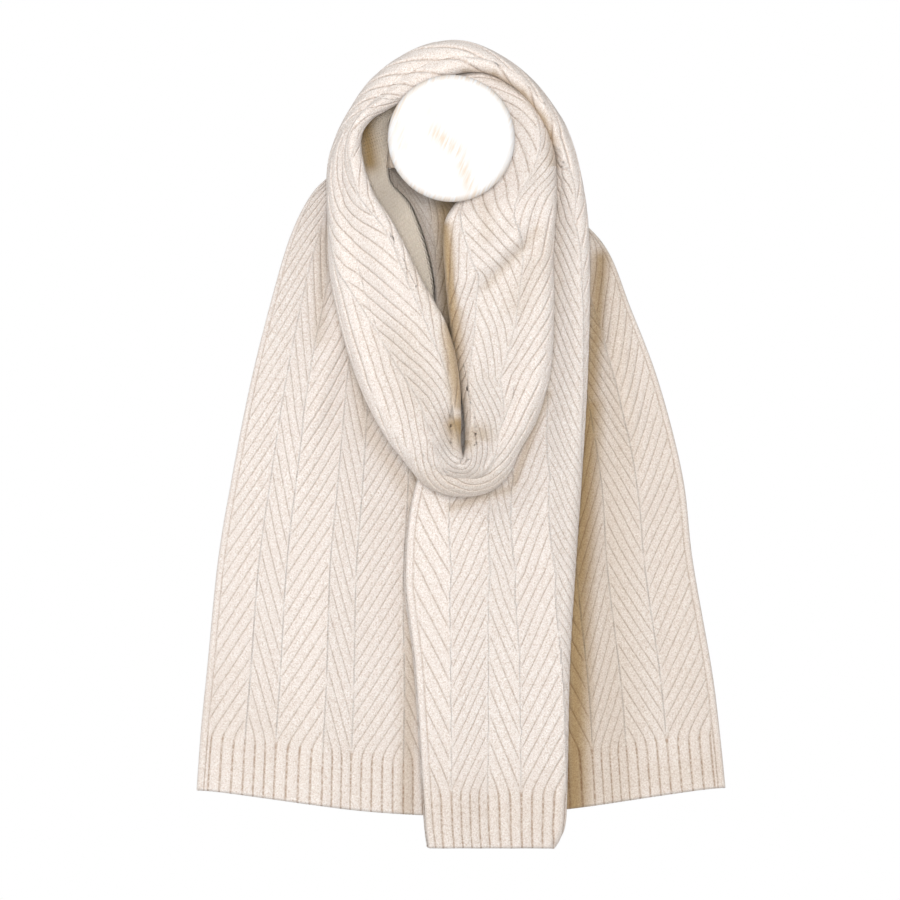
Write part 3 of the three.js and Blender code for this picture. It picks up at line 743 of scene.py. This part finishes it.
def cloth_wall(name, point, pattern, places, rows, inner_places, inner_rows, ends):
    """
    One stretch as a closed mesh. Each point of the middle surface moves along its normal: the
    outer face by half the wall and the ribs' relief, the inner face by half the wall. The seams
    to the next stretches are marked sharp, so that no shading line shows there.
    """
    faces = []
    for side, place, v in ((1, places, rows), (-1, inner_places, inner_rows)):
        middle, s = point(place, v)
        normal, gathered = normals(point, place, v)
        phase, line_gap, u, selvedge, _ = knit_place = pattern(s, v)
        step = np.linalg.norm(np.diff(middle, axis=1), axis=-1)
        run = np.concatenate([np.zeros((len(v), 1)), np.cumsum(step, axis=1)], axis=1)
        side_edge = np.minimum(run, run[:, -1:] - run)
        end_edge = np.full((len(v), 1), NO_END)
        for at in ends:
            end_edge = np.minimum(end_edge, np.abs(v - at)[:, None])
        taper = edge_taper(side_edge) * edge_taper(end_edge)
        relief = rib_relief(*knit_place) * RIB_HEIGHT * gathered if side > 0 else 0
        offset = side * (WALL / 2 + relief) * taper
        # The painted warm shade of the folds, which goes into the knit's colour.
        shade = shade_depth(SHADES[name], middle[..., 0], middle[..., 2])
        if side < 0:
            # The reverse has a shade only inside the loop. It is plain knit on the strand, where a
            # distance of 0 to the lines fades its grooves.
            inside = shade_depth(INSIDE_SHADE, middle[..., 0], middle[..., 2])
            shade = inside if name == "loop_left" else 0 * shade
            line_gap = line_gap * name.startswith("back")
        knit = np.stack([phase, u, selvedge, line_gap, above_hem(u), shade], axis=-1)
        faces.append((middle + normal * offset[..., None], knit))
    (outer, outer_knit), (inner, inner_knit) = faces
    a = np.arange(outer[..., 0].size).reshape(outer.shape[:2])
    b = a.size + np.arange(inner[..., 0].size).reshape(inner.shape[:2])
    triangles = np.concatenate([
        grid_triangles(a),
        grid_triangles(b)[:, ::-1],
        zip_border(b[:, 0], inner_rows, a[:, 0], rows),
        zip_border(b[:, -1], inner_rows, a[:, -1], rows)[:, ::-1],
        zip_border(b[0], inner_places, a[0], places)[:, ::-1],
        zip_border(b[-1], inner_places, a[-1], places),
    ])
    points = np.concatenate([outer.reshape(-1, 3), inner.reshape(-1, 3)])
    knit = np.concatenate([part.reshape(-1, part.shape[-1]) for part in (outer_knit, inner_knit)])
    on_seam = np.zeros(len(points), bool)
    for at, ids_a, ids_b in ((rows[0], a[0], b[0]), (rows[-1], a[-1], b[-1])):
        on_seam[ids_a] = on_seam[ids_b] = at not in ends
    # "lines" carries the distance to the lines, the share above the hem and the painted warm
    # shade.
    fields = {"knit": knit[:, :3], "lines": knit[:, 3:],
              "outer": np.concatenate([np.ones(a.size), np.zeros(b.size)])}
    return add_mesh(name, points * MM, triangles, fields, on_seam)


# %% From points to a mesh
def add_mesh(name, points, triangles, fields=None, on_seam=None):
    """A smooth mesh of triangles at the origin, with the given fields on its points."""
    mesh = bpy.data.meshes.new(name)
    mesh.vertices.add(len(points))
    mesh.vertices.foreach_set("co", points.astype(np.float32).ravel())
    mesh.loops.add(triangles.size)
    mesh.loops.foreach_set("vertex_index", triangles.astype(np.int32).ravel())
    mesh.polygons.add(len(triangles))
    mesh.polygons.foreach_set("loop_start", np.arange(len(triangles), dtype=np.int32) * 3)
    mesh.update(calc_edges=True)
    mesh.validate()
    mesh.shade_smooth()
    for key, values in (fields or {}).items():
        kind, slot = ("FLOAT_VECTOR", "vector") if values.ndim == 2 else ("FLOAT", "value")
        mesh.attributes.new(key, kind, "POINT").data.foreach_set(
            slot, values.astype(np.float32).ravel())
    if on_seam is not None:
        ends_of_edges = np.empty(len(mesh.edges) * 2, np.int32)
        mesh.edges.foreach_get("vertices", ends_of_edges)
        mesh.attributes.new("sharp_edge", "BOOLEAN", "EDGE").data.foreach_set(
            "value", on_seam[ends_of_edges.reshape(-1, 2)].all(axis=1))
    piece = bpy.data.objects.new(name, mesh)
    bpy.context.scene.collection.objects.link(piece)
    print(f"{name}: {len(points)} points, {len(triangles)} triangles")
    return piece


# %% [markdown]
# ## The stretches
#
# Each stretch replaces its plain solid. The outer face has a point about every millimetre,
# which is what a groove of two millimetres needs. The scarf could be one mesh, but a piece for
# each solid keeps the two models alike. Both sides of a seam have the same points, so that it
# can't be seen. The hidden layers are coarse.

# %% Build the cloth
FACE_STEP = 1.0
BACK_COLUMNS_STEP = 1.3
BACK_ROWS_STEP = 1.7
INNER_STEP = 3.0
HIDDEN_STEP = 6.0
FACE_COLUMNS = 140
INNER_COLUMNS = 40
BACK_LAYER_COLUMNS = 16
# Places on the layers that are rolled up: few on the straight lines, more round the turns.
ROLLED_PLACES = np.array([1.5, 2, 2.33, 2.67, 3, 3.5, 4, 4.33, 4.67, 5, 5.5, 6])


def spread(start, end, step):
    """Evenly spaced values from start to end, about a step apart."""
    return np.linspace(start, end, max(2, int(round((end - start) / step)) + 1))


def strand_piece(name):
    """One stretch of the strand. Only the front tail and its hem have rolled layers."""
    start, end = strand.seams[name]
    rolled = name.startswith("front")
    behind = ROLLED_PLACES if rolled else np.linspace(1, 2, BACK_LAYER_COLUMNS + 1)[1:]
    face = np.linspace(0, 1, FACE_COLUMNS + 1)
    inner_face = np.linspace(0, 1, INNER_COLUMNS + 1)
    ends = [0.0] if name == "front_hem" else []
    return cloth_wall(name, strand_point, strand_pattern,
                      np.concatenate([face, behind]), spread(start, end, FACE_STEP),
                      np.concatenate([inner_face, behind]), spread(start, end, INNER_STEP), ends)


def back_piece(name, rows_step):
    """One stretch of the back tail, with its rows rows_step apart."""
    start, end = back_strip.seams[name]
    ends = [0.0] if name == "back_hem" else []
    return cloth_wall(name, back_point, back_pattern,
                      spread(0, 1, BACK_COLUMNS_STEP / BACK_WIDTH), spread(start, end, rows_step),
                      spread(0, 1, INNER_STEP / BACK_WIDTH), spread(start, end, HIDDEN_STEP), ends)


pieces = {name: strand_piece(name) for name in STRAND}
pieces["back_hem"] = back_piece("back_hem", FACE_STEP)
pieces["back_tail"] = back_piece("back_tail", BACK_ROWS_STEP)

# %% [markdown]
# ## The knob
#
# The knob is turned wood under worn chalk paint. A lathe needs one profile, and numpy carries
# it round the axis, which points out of the wall along -Y. A Screw modifier could turn it too,
# but here the poles are closed and the faces point outwards from the start.

# %% The knob's profile, turned round its stem
DISC_RADIUS = 47.5
DISC_BACK = 54.0
DISC_FRONT = 74.0
DISC_EDGE = 5.0
STEM_RADIUS = 20.5
PLATE_RADIUS = 30.0
PLATE_THICKNESS = 4.0
PLATE_EDGE = 2.0
NECK_FLARE = 3.0
DISC_DOME = 1.0
TURNS = 128


def quarter(centre_radius, centre_out, size, start, end, count=9):
    """An arc of the profile: radius + size cos(a) and out + size sin(a), a in degrees."""
    a = np.radians(np.linspace(start, end, count))
    return np.stack([centre_radius + size * np.cos(a), centre_out + size * np.sin(a)], -1)


def crown(count=40):
    """The disc's face, domed by a millimetre towards its centre."""
    radius = np.linspace(DISC_RADIUS - DISC_EDGE, 0, count)
    flat_radius = DISC_RADIUS - DISC_EDGE
    return np.stack([radius, DISC_FRONT + DISC_DOME - (radius / flat_radius) ** 2], -1)[1:]


profile = np.concatenate([
    [[0, 0], [PLATE_RADIUS, 0]],
    quarter(PLATE_RADIUS - PLATE_EDGE, PLATE_THICKNESS - PLATE_EDGE, PLATE_EDGE, 0, 90, 6),
    [[STEM_RADIUS, PLATE_THICKNESS], [STEM_RADIUS, DISC_BACK - NECK_FLARE]],
    [[STEM_RADIUS + DISC_EDGE, DISC_BACK]],
    quarter(DISC_RADIUS - DISC_EDGE, DISC_BACK + DISC_EDGE, DISC_EDGE, -90, 0),
    quarter(DISC_RADIUS - DISC_EDGE, DISC_FRONT - DISC_EDGE, DISC_EDGE, 0, 90),
    crown(),
])


def turned(profile_points, turns):
    """
    Carries a profile (radius, out) round the Y axis, to (radius cos(a), -out, radius sin(a)),
    and closes it with a fan of triangles at both poles.
    """
    ring = profile_points[1:-1]
    a = np.arange(turns) * 2 * np.pi / turns
    grid = np.stack([np.outer(ring[:, 0], np.cos(a)),
                     -np.repeat(ring[:, 1:], turns, axis=1),
                     np.outer(ring[:, 0], np.sin(a))], -1)
    ids = np.arange(grid[..., 0].size).reshape(grid.shape[:2])
    ids = np.concatenate([ids, ids[:, :1]], axis=1)
    first, last = grid[..., 0].size, grid[..., 0].size + 1
    poles = np.array([[0, -profile_points[0, 1], 0], [0, -profile_points[-1, 1], 0]])
    caps = [np.stack([ids[0, 1:], ids[0, :-1], np.full(turns, first)], -1),
            np.stack([ids[-1, :-1], ids[-1, 1:], np.full(turns, last)], -1)]
    points = np.concatenate([grid.reshape(-1, 3), poles])
    return points, np.concatenate([grid_triangles(ids), *caps])


# %% Where the paint is worn
# Where the paint is rubbed: a line, its half width and how much wood shows.
WORN = [
    (-12, 4, 6, -11, 6, 0.9),
    (8, -20, 15, -37, 5, 0.9),
    (-42, 22, -37, -6, 5, 0.55),
    (-20, 22, 0, 14, 7, 0.25),
    (20, -4, 28, -22, 7, 0.2),
    (-22, -14, -16, -30, 6, 0.2),
]
RIM_WORN = (42.0, 46.2)
RIM_LEAST, RIM_MORE = 0.35, 0.5


def worn(x, z):
    """Rubbed places, given one by one, and the rim, which is rubbed most at the top and at the
    foot.
    """
    radius = np.hypot(x, z)
    rim = smooth(radius, *RIM_WORN) * (RIM_LEAST + RIM_MORE * np.abs(z) / DISC_RADIUS)
    return np.clip(fold_rise(WORN, x, z) + rim, 0, 1)


points, triangles = turned(profile, TURNS)
knob = add_mesh("knob", points * MM, triangles, {"worn": worn(points[:, 0], points[:, 2])})

# %% [markdown]
# ## A small language for shader maths
#
# Long chains of Math nodes are hard to read. This class wraps a socket, and `+ - * /` on it add
# the nodes, so that a height or a mask is written as the formula that it is.

# %% A wrapped socket
class Value:
    """A float socket on which the usual operators add Math nodes."""

    def __init__(self, material, socket):
        self.material, self.socket = material, socket

    def math(self, operation, *others):
        node = self.material.node("ShaderNodeMath", {"operation": operation})
        for slot, value in zip(node.inputs, (self, *others)):
            self.material.put(slot, value)
        return Value(self.material, node.outputs[0])

    def __add__(self, other):
        return self.math("ADD", other)

    def __sub__(self, other):
        return self.math("SUBTRACT", other)

    def __rsub__(self, other):
        return (self * -1).math("ADD", other)

    def __mul__(self, other):
        return self.math("MULTIPLY", other)

    def __truediv__(self, other):
        return self.math("DIVIDE", other)

    __radd__ = __add__
    __rmul__ = __mul__

    def between(self, low, high):
        """0 at low and 1 at high, and held outside."""
        return ((self - low) / (high - low)).math("MAXIMUM", 0).math("MINIMUM", 1)


# %% A material with short names for its nodes
class Finish:
    """A node material for one finish."""

    def __init__(self, name):
        self.material = bpy.data.materials.new(name)
        self.material.use_nodes = True
        self.tree = self.material.node_tree
        self.shader = next(n for n in self.tree.nodes if n.type == "BSDF_PRINCIPLED")

    def node(self, kind, settings=None, **inputs):
        """Adds a node, first its settings and then the values or links of its sockets."""
        node = self.tree.nodes.new(kind)
        for key, value in (settings or {}).items():
            setattr(node, key, value)
        for key, value in inputs.items():
            self.put(node.inputs[key.replace("_", " ")], value)
        return node

    def put(self, socket, value):
        """Links a socket to a value's socket, or sets it to a plain number or colour."""
        if isinstance(value, Value):
            value = value.socket
        if isinstance(value, bpy.types.NodeSocket):
            self.tree.links.new(value, socket)
        else:
            socket.default_value = value

    def value(self, socket):
        return Value(self, socket)

    def attribute(self, name):
        """A field of the mesh's points."""
        return self.node("ShaderNodeAttribute", {"attribute_name": name})

    def split(self, vector):
        node = self.node("ShaderNodeSeparateXYZ", Vector=vector)
        return [self.value(socket) for socket in node.outputs]

    def vector(self, x, y, z):
        return self.node("ShaderNodeCombineXYZ", X=x, Y=y, Z=z).outputs[0]

    def noise(self, vector, scale, detail, roughness):
        """Soft random spots between 0 and 1, about 1 / scale metres apart."""
        node = self.node("ShaderNodeTexNoise", Vector=vector, Scale=scale, Detail=detail,
                         Roughness=roughness)
        return self.value(node.outputs["Fac"])

    def mix(self, share, first, second, kind="MIX"):
        """A colour between two, or the second laid over the first in another kind of blend."""
        node = self.node("ShaderNodeMix", {"data_type": "RGBA", "blend_type": kind})
        self.put(node.inputs[0], share)
        self.put(node.inputs[6], first)
        self.put(node.inputs[7], second)
        return node.outputs[2]

    def bump(self, height, strength, distance):
        node = self.node("ShaderNodeBump", Height=height, Strength=strength, Distance=distance)
        return node.outputs["Normal"]

    def set(self, **inputs):
        """Links or sets sockets of the surface's own shader."""
        for key, value in inputs.items():
            self.put(self.shader.inputs[key.replace("_", " ")], value)


# %% [markdown]
# ## The knit
#
# The yarn is heathered: cream wool with tan and brown fibres carded into it. Every stitch is a
# small V. The mesh carries the knit's own coordinates, so that the stitches and the thin line of
# painted shade in each groove run with the ribs over every fold. The reverse of the knit shows
# small bumps instead of the V's, with painted shade between them, and its colour is painted a
# little lighter and more golden. Half a million stitches could be laid as yarn, but at this
# distance a bump shows the same and renders in a minute.

# %% The knit's finish
STITCHES_PER_RIB = 4
STITCH = 1.8
COURSE = 1.9
# How many spots of noise go into a metre, from single fibres to broad clouds.
FUZZ_SCALE = 1150
GRAIN_SCALE = 1000
FLECK_SCALE = 760
BROKEN_SCALE = 520
CLOUD_SCALE = 9
PALE = (1.0, 0.95, 0.91, 1)
CREAM = (0.80, 0.70, 0.63, 1)
TAN = (0.58, 0.45, 0.35, 1)
# The reverse's own colour, painted a little lighter and more golden for the warm light inside the
# loop.
REVERSE_WARM_LIGHT = (1.0, 0.87, 0.68, 1)
# Painted shade in the grooves, the turning columns and between the purl bumps.
GROOVE_SHADE_COLOUR = (0.50, 0.375, 0.29, 1)
# Painted warm shade of the deep folds.
WARM_SHADE = (0.51, 0.39, 0.22, 1)


def knit_finish():
    """Heathered knit on the mesh's own coordinates, and its grain on the object's."""
    finish = Finish("heathered_knit")
    phase, length, edge = finish.split(finish.attribute("knit").outputs["Vector"])
    line_gap, above, shade = finish.split(finish.attribute("lines").outputs["Vector"])
    outer = finish.value(finish.attribute("outer").outputs["Fac"])
    where = finish.node("ShaderNodeTexCoord").outputs["Object"]

    # The groove beside each rib, wider in the hem, and broken by the stitches. Its mask also
    # paints shade into the colour of the grooves and of the stitch columns at the turns.
    from_groove = ((phase + 0.5).math("FRACT") - 0.5).math("ABSOLUTE")
    groove = 1 - (from_groove - (1 - above) * 0.03).between(0.02, 0.10)
    turn = line_gap.between(0.7 + (1 - outer) * 2.3, 2.4 + (1 - outer) * 2.3)
    groove = groove * (1 - above * (1 - turn))
    inside = edge.between(SELVEDGE - 0.6, SELVEDGE + 0.6)
    edge_groove = 1 - (edge - SELVEDGE).math("ABSOLUTE").between(0.1, 0.9)
    groove = (groove * inside).math("MAXIMUM", edge_groove)
    broken = finish.noise(where, BROKEN_SCALE, 2, 0.6).between(0.36, 0.60)
    dots = ((length / COURSE).math("FRACT") - 0.5).math("ABSOLUTE").between(0.1, 0.3)
    column = (1 - line_gap.between(0.3, 0.9)) * dots * above * outer
    recess_shade = groove * (broken * 0.7 + 0.3) * (1.5 - above * 0.5) + column * 0.06

    # The stitches: two legs that lean together, one stitch every course. The reverse has bumps.
    across = (phase * STITCHES_PER_RIB * outer + edge / STITCH * (1 - outer)).math("FRACT")
    from_middle = (across * 2 - 1).math("ABSOLUTE")
    along = (length / COURSE + from_middle * 0.8).math("FRACT")
    leg = (along * np.pi).math("SINE") * (from_middle * np.pi).math("SINE").math("POWER", 0.5)
    purl = ((length / COURSE + from_middle * 0.5) * (2 * np.pi)).math("SINE") * 0.5 + 0.5
    stitch = leg * outer + purl * (1 - outer) * 2.2
    # Painted shade darkens the colour between the purl bumps of the reverse.
    recess_shade = recess_shade + (1 - purl) * (1 - outer) * 0.15
    fuzz = finish.noise(where, FUZZ_SCALE, 3, 0.75)
    height = stitch * 0.5 + fuzz * 0.9 - groove * 0.6 - column * 0.08
    normal = finish.bump(height, 0.9, 0.0007)

    # Cream wool with tan and brown fibres. Painted shade darkens the grooves and makes the folds
    # golden brown, and the reverse's own colour is painted a little lighter and more golden.
    grain = finish.noise(where, GRAIN_SCALE, 2, 0.8)
    colour = finish.mix(grain.between(0.38, 0.60), PALE, CREAM)
    flecks = finish.noise(where, FLECK_SCALE, 2, 0.8)
    colour = finish.mix(flecks.between(0.53, 0.66) * 0.6, colour, TAN)
    # The reverse takes its own colour, with painted warm light in it.
    colour = finish.mix((1 - outer) * 0.6, colour, REVERSE_WARM_LIGHT)
    clouds = finish.noise(where, CLOUD_SCALE, 2, 0.5)
    colour = finish.mix(clouds.between(0.35, 0.7) * 0.2, colour, CREAM)
    colour = finish.mix(recess_shade * 0.66, colour, GROOVE_SHADE_COLOUR)
    colour = finish.mix(shade, colour, finish.mix(1.0, colour, WARM_SHADE, "MULTIPLY"))
    finish.set(Base_Color=colour, Roughness=0.95, Normal=normal, Sheen_Weight=0.15,
               Sheen_Roughness=0.5, Specular_IOR_Level=0.15)
    return finish.material


# %% [markdown]
# ## Worn chalk paint
#
# The knob is painted white and rubbed through in places, where streaks of pale bare wood show.
# A noise alone would rub the paint anywhere. Lines given one by one put the wear in its places,
# and a stretched noise breaks it into streaks.

# %% The knob's finish
PAINT = (0.785, 0.785, 0.79, 1)
BARE_WOOD = (0.70, 0.53, 0.36, 1)
GREYED = (0.72, 0.74, 0.77, 1)
WOOD_GRAIN_SCALE = 260


def paint_finish():
    """White paint over pale wood. The noise is stretched, so that its streaks slant."""
    finish = Finish("worn_chalk_paint")
    where = finish.node("ShaderNodeTexCoord").outputs["Object"]
    x, y, z = finish.split(where)
    stretched = finish.vector(x * 520 - z * 230, y * 30, x * 20 + z * 45)
    rubbed = finish.value(finish.attribute("worn").outputs["Fac"])
    streaks = finish.noise(stretched, 1.0, 3, 0.6)
    grain = finish.noise(where, WOOD_GRAIN_SCALE, 3, 0.6)
    colour = finish.mix(rubbed * streaks.between(0.36, 0.62) * 0.75, PAINT, BARE_WOOD)
    colour = finish.mix(grain.between(0.45, 0.75) * 0.10, colour, GREYED)
    finish.set(Base_Color=colour, Roughness=0.65,
               Normal=finish.bump(grain * 0.6 + streaks, 0.15, 0.0006), Specular_IOR_Level=0.25)
    return finish.material


# %% [markdown]
# ## Put the pieces in the frame
#
# Every piece rides on the one body, replaces its plain solid and takes its finish.

# %% Finishes, frame and sheets
knit_material = knit_finish()
print("The knit's material has", len(knit_material.node_tree.nodes), "nodes")
for name, piece in pieces.items():
    piece.name = f"cloth_{name}"
    piece.data.materials.append(knit_material)
    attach(piece, "root")
    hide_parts(name)

knob.data.materials.append(paint_finish())
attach(knob, "root")
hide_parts("wall_knob")

# %% [markdown]
# ## Camera, floor and light
#
# The photograph looks straight at the wall from far away, on white. A long lens frames 675 mm
# of the wall in 900 pixels. One large soft light stands at the upper left, as the shadows on the
# right of each fold show. A wide sun from the camera's side lights the inside of the loop, and a
# weaker one the right-hand edges. The camera sees a white world, but a dimmer one lights the
# scarf.

# %% The camera
VIEW_WIDTH = 0.675
VIEW_CENTRE = (-0.001, -0.233)
CAMERA_DISTANCE = 20.0
SENSOR = 36.0

camera_data = bpy.data.cameras.new("camera")
camera_data.sensor_width = SENSOR
camera_data.lens = SENSOR * CAMERA_DISTANCE / VIEW_WIDTH
camera_data.clip_end = 100
camera = bpy.data.objects.new("camera", camera_data)
camera.location = (VIEW_CENTRE[0], -CAMERA_DISTANCE, VIEW_CENTRE[1])
camera.rotation_euler = (np.pi / 2, 0, 0)
bpy.context.scene.collection.objects.link(camera)
bpy.context.scene.camera = camera
print(f"The lens is {camera_data.lens:.0f} mm long")

# %% The floor
FLOOR_LEVEL = -0.75
FLOOR_FORWARD = 3
FLOOR_SIZE = 12.0

half = FLOOR_SIZE / 2
floor_points = np.array([[-half, -half, 0], [half, -half, 0], [half, half, 0], [-half, half, 0]])
floor = add_mesh("floor", floor_points + [0, -FLOOR_FORWARD, FLOOR_LEVEL],
                 np.array([[0, 1, 2], [0, 2, 3]]))
floor_finish = Finish("pale_floor")
floor_finish.set(Base_Color=(0.9, 0.9, 0.9, 1), Roughness=0.8)
floor.data.materials.append(floor_finish.material)

# %% The white world
WORLD_LIGHT = 0.41

world = bpy.data.worlds.new("white")
world.use_nodes = True
tree = world.node_tree
lighting = tree.nodes["Background"]
lighting.inputs["Color"].default_value = (1, 1, 1, 1)
lighting.inputs["Strength"].default_value = WORLD_LIGHT
seen = tree.nodes.new("ShaderNodeBackground")
seen.inputs["Color"].default_value = (1, 1, 1, 1)
chosen = tree.nodes.new("ShaderNodeMixShader")
path = tree.nodes.new("ShaderNodeLightPath")
tree.links.new(path.outputs["Is Camera Ray"], chosen.inputs[0])
tree.links.new(lighting.outputs[0], chosen.inputs[1])
tree.links.new(seen.outputs[0], chosen.inputs[2])
tree.links.new(chosen.outputs[0], tree.nodes["World Output"].inputs["Surface"])
bpy.context.scene.world = world
bpy.context.scene.view_settings.view_transform = "Standard"

# %% The lights
# A sun's name, strength, width and turn from straight ahead, both in degrees.
SUNS = (("fill", 2.0, 16, 0), ("right_fill", 0.45, 50, 48))
SUN_TILT = 86

key_data = bpy.data.lights.new("key", "AREA")
key_data.shape = "DISK"
key_data.size = 1.6
key_data.energy = 24
key = bpy.data.objects.new("key", key_data)
key.location = (-1.8, -2.2, 1.3)
key.rotation_euler = (np.radians(62), 0, np.radians(-39))
bpy.context.scene.collection.objects.link(key)

for name, energy, width, turn in SUNS:
    data = bpy.data.lights.new(name, "SUN")
    data.energy = energy
    data.angle = np.radians(width)
    light = bpy.data.objects.new(name, data)
    light.rotation_euler = (np.radians(SUN_TILT), 0, np.radians(turn))
    bpy.context.scene.collection.objects.link(light)
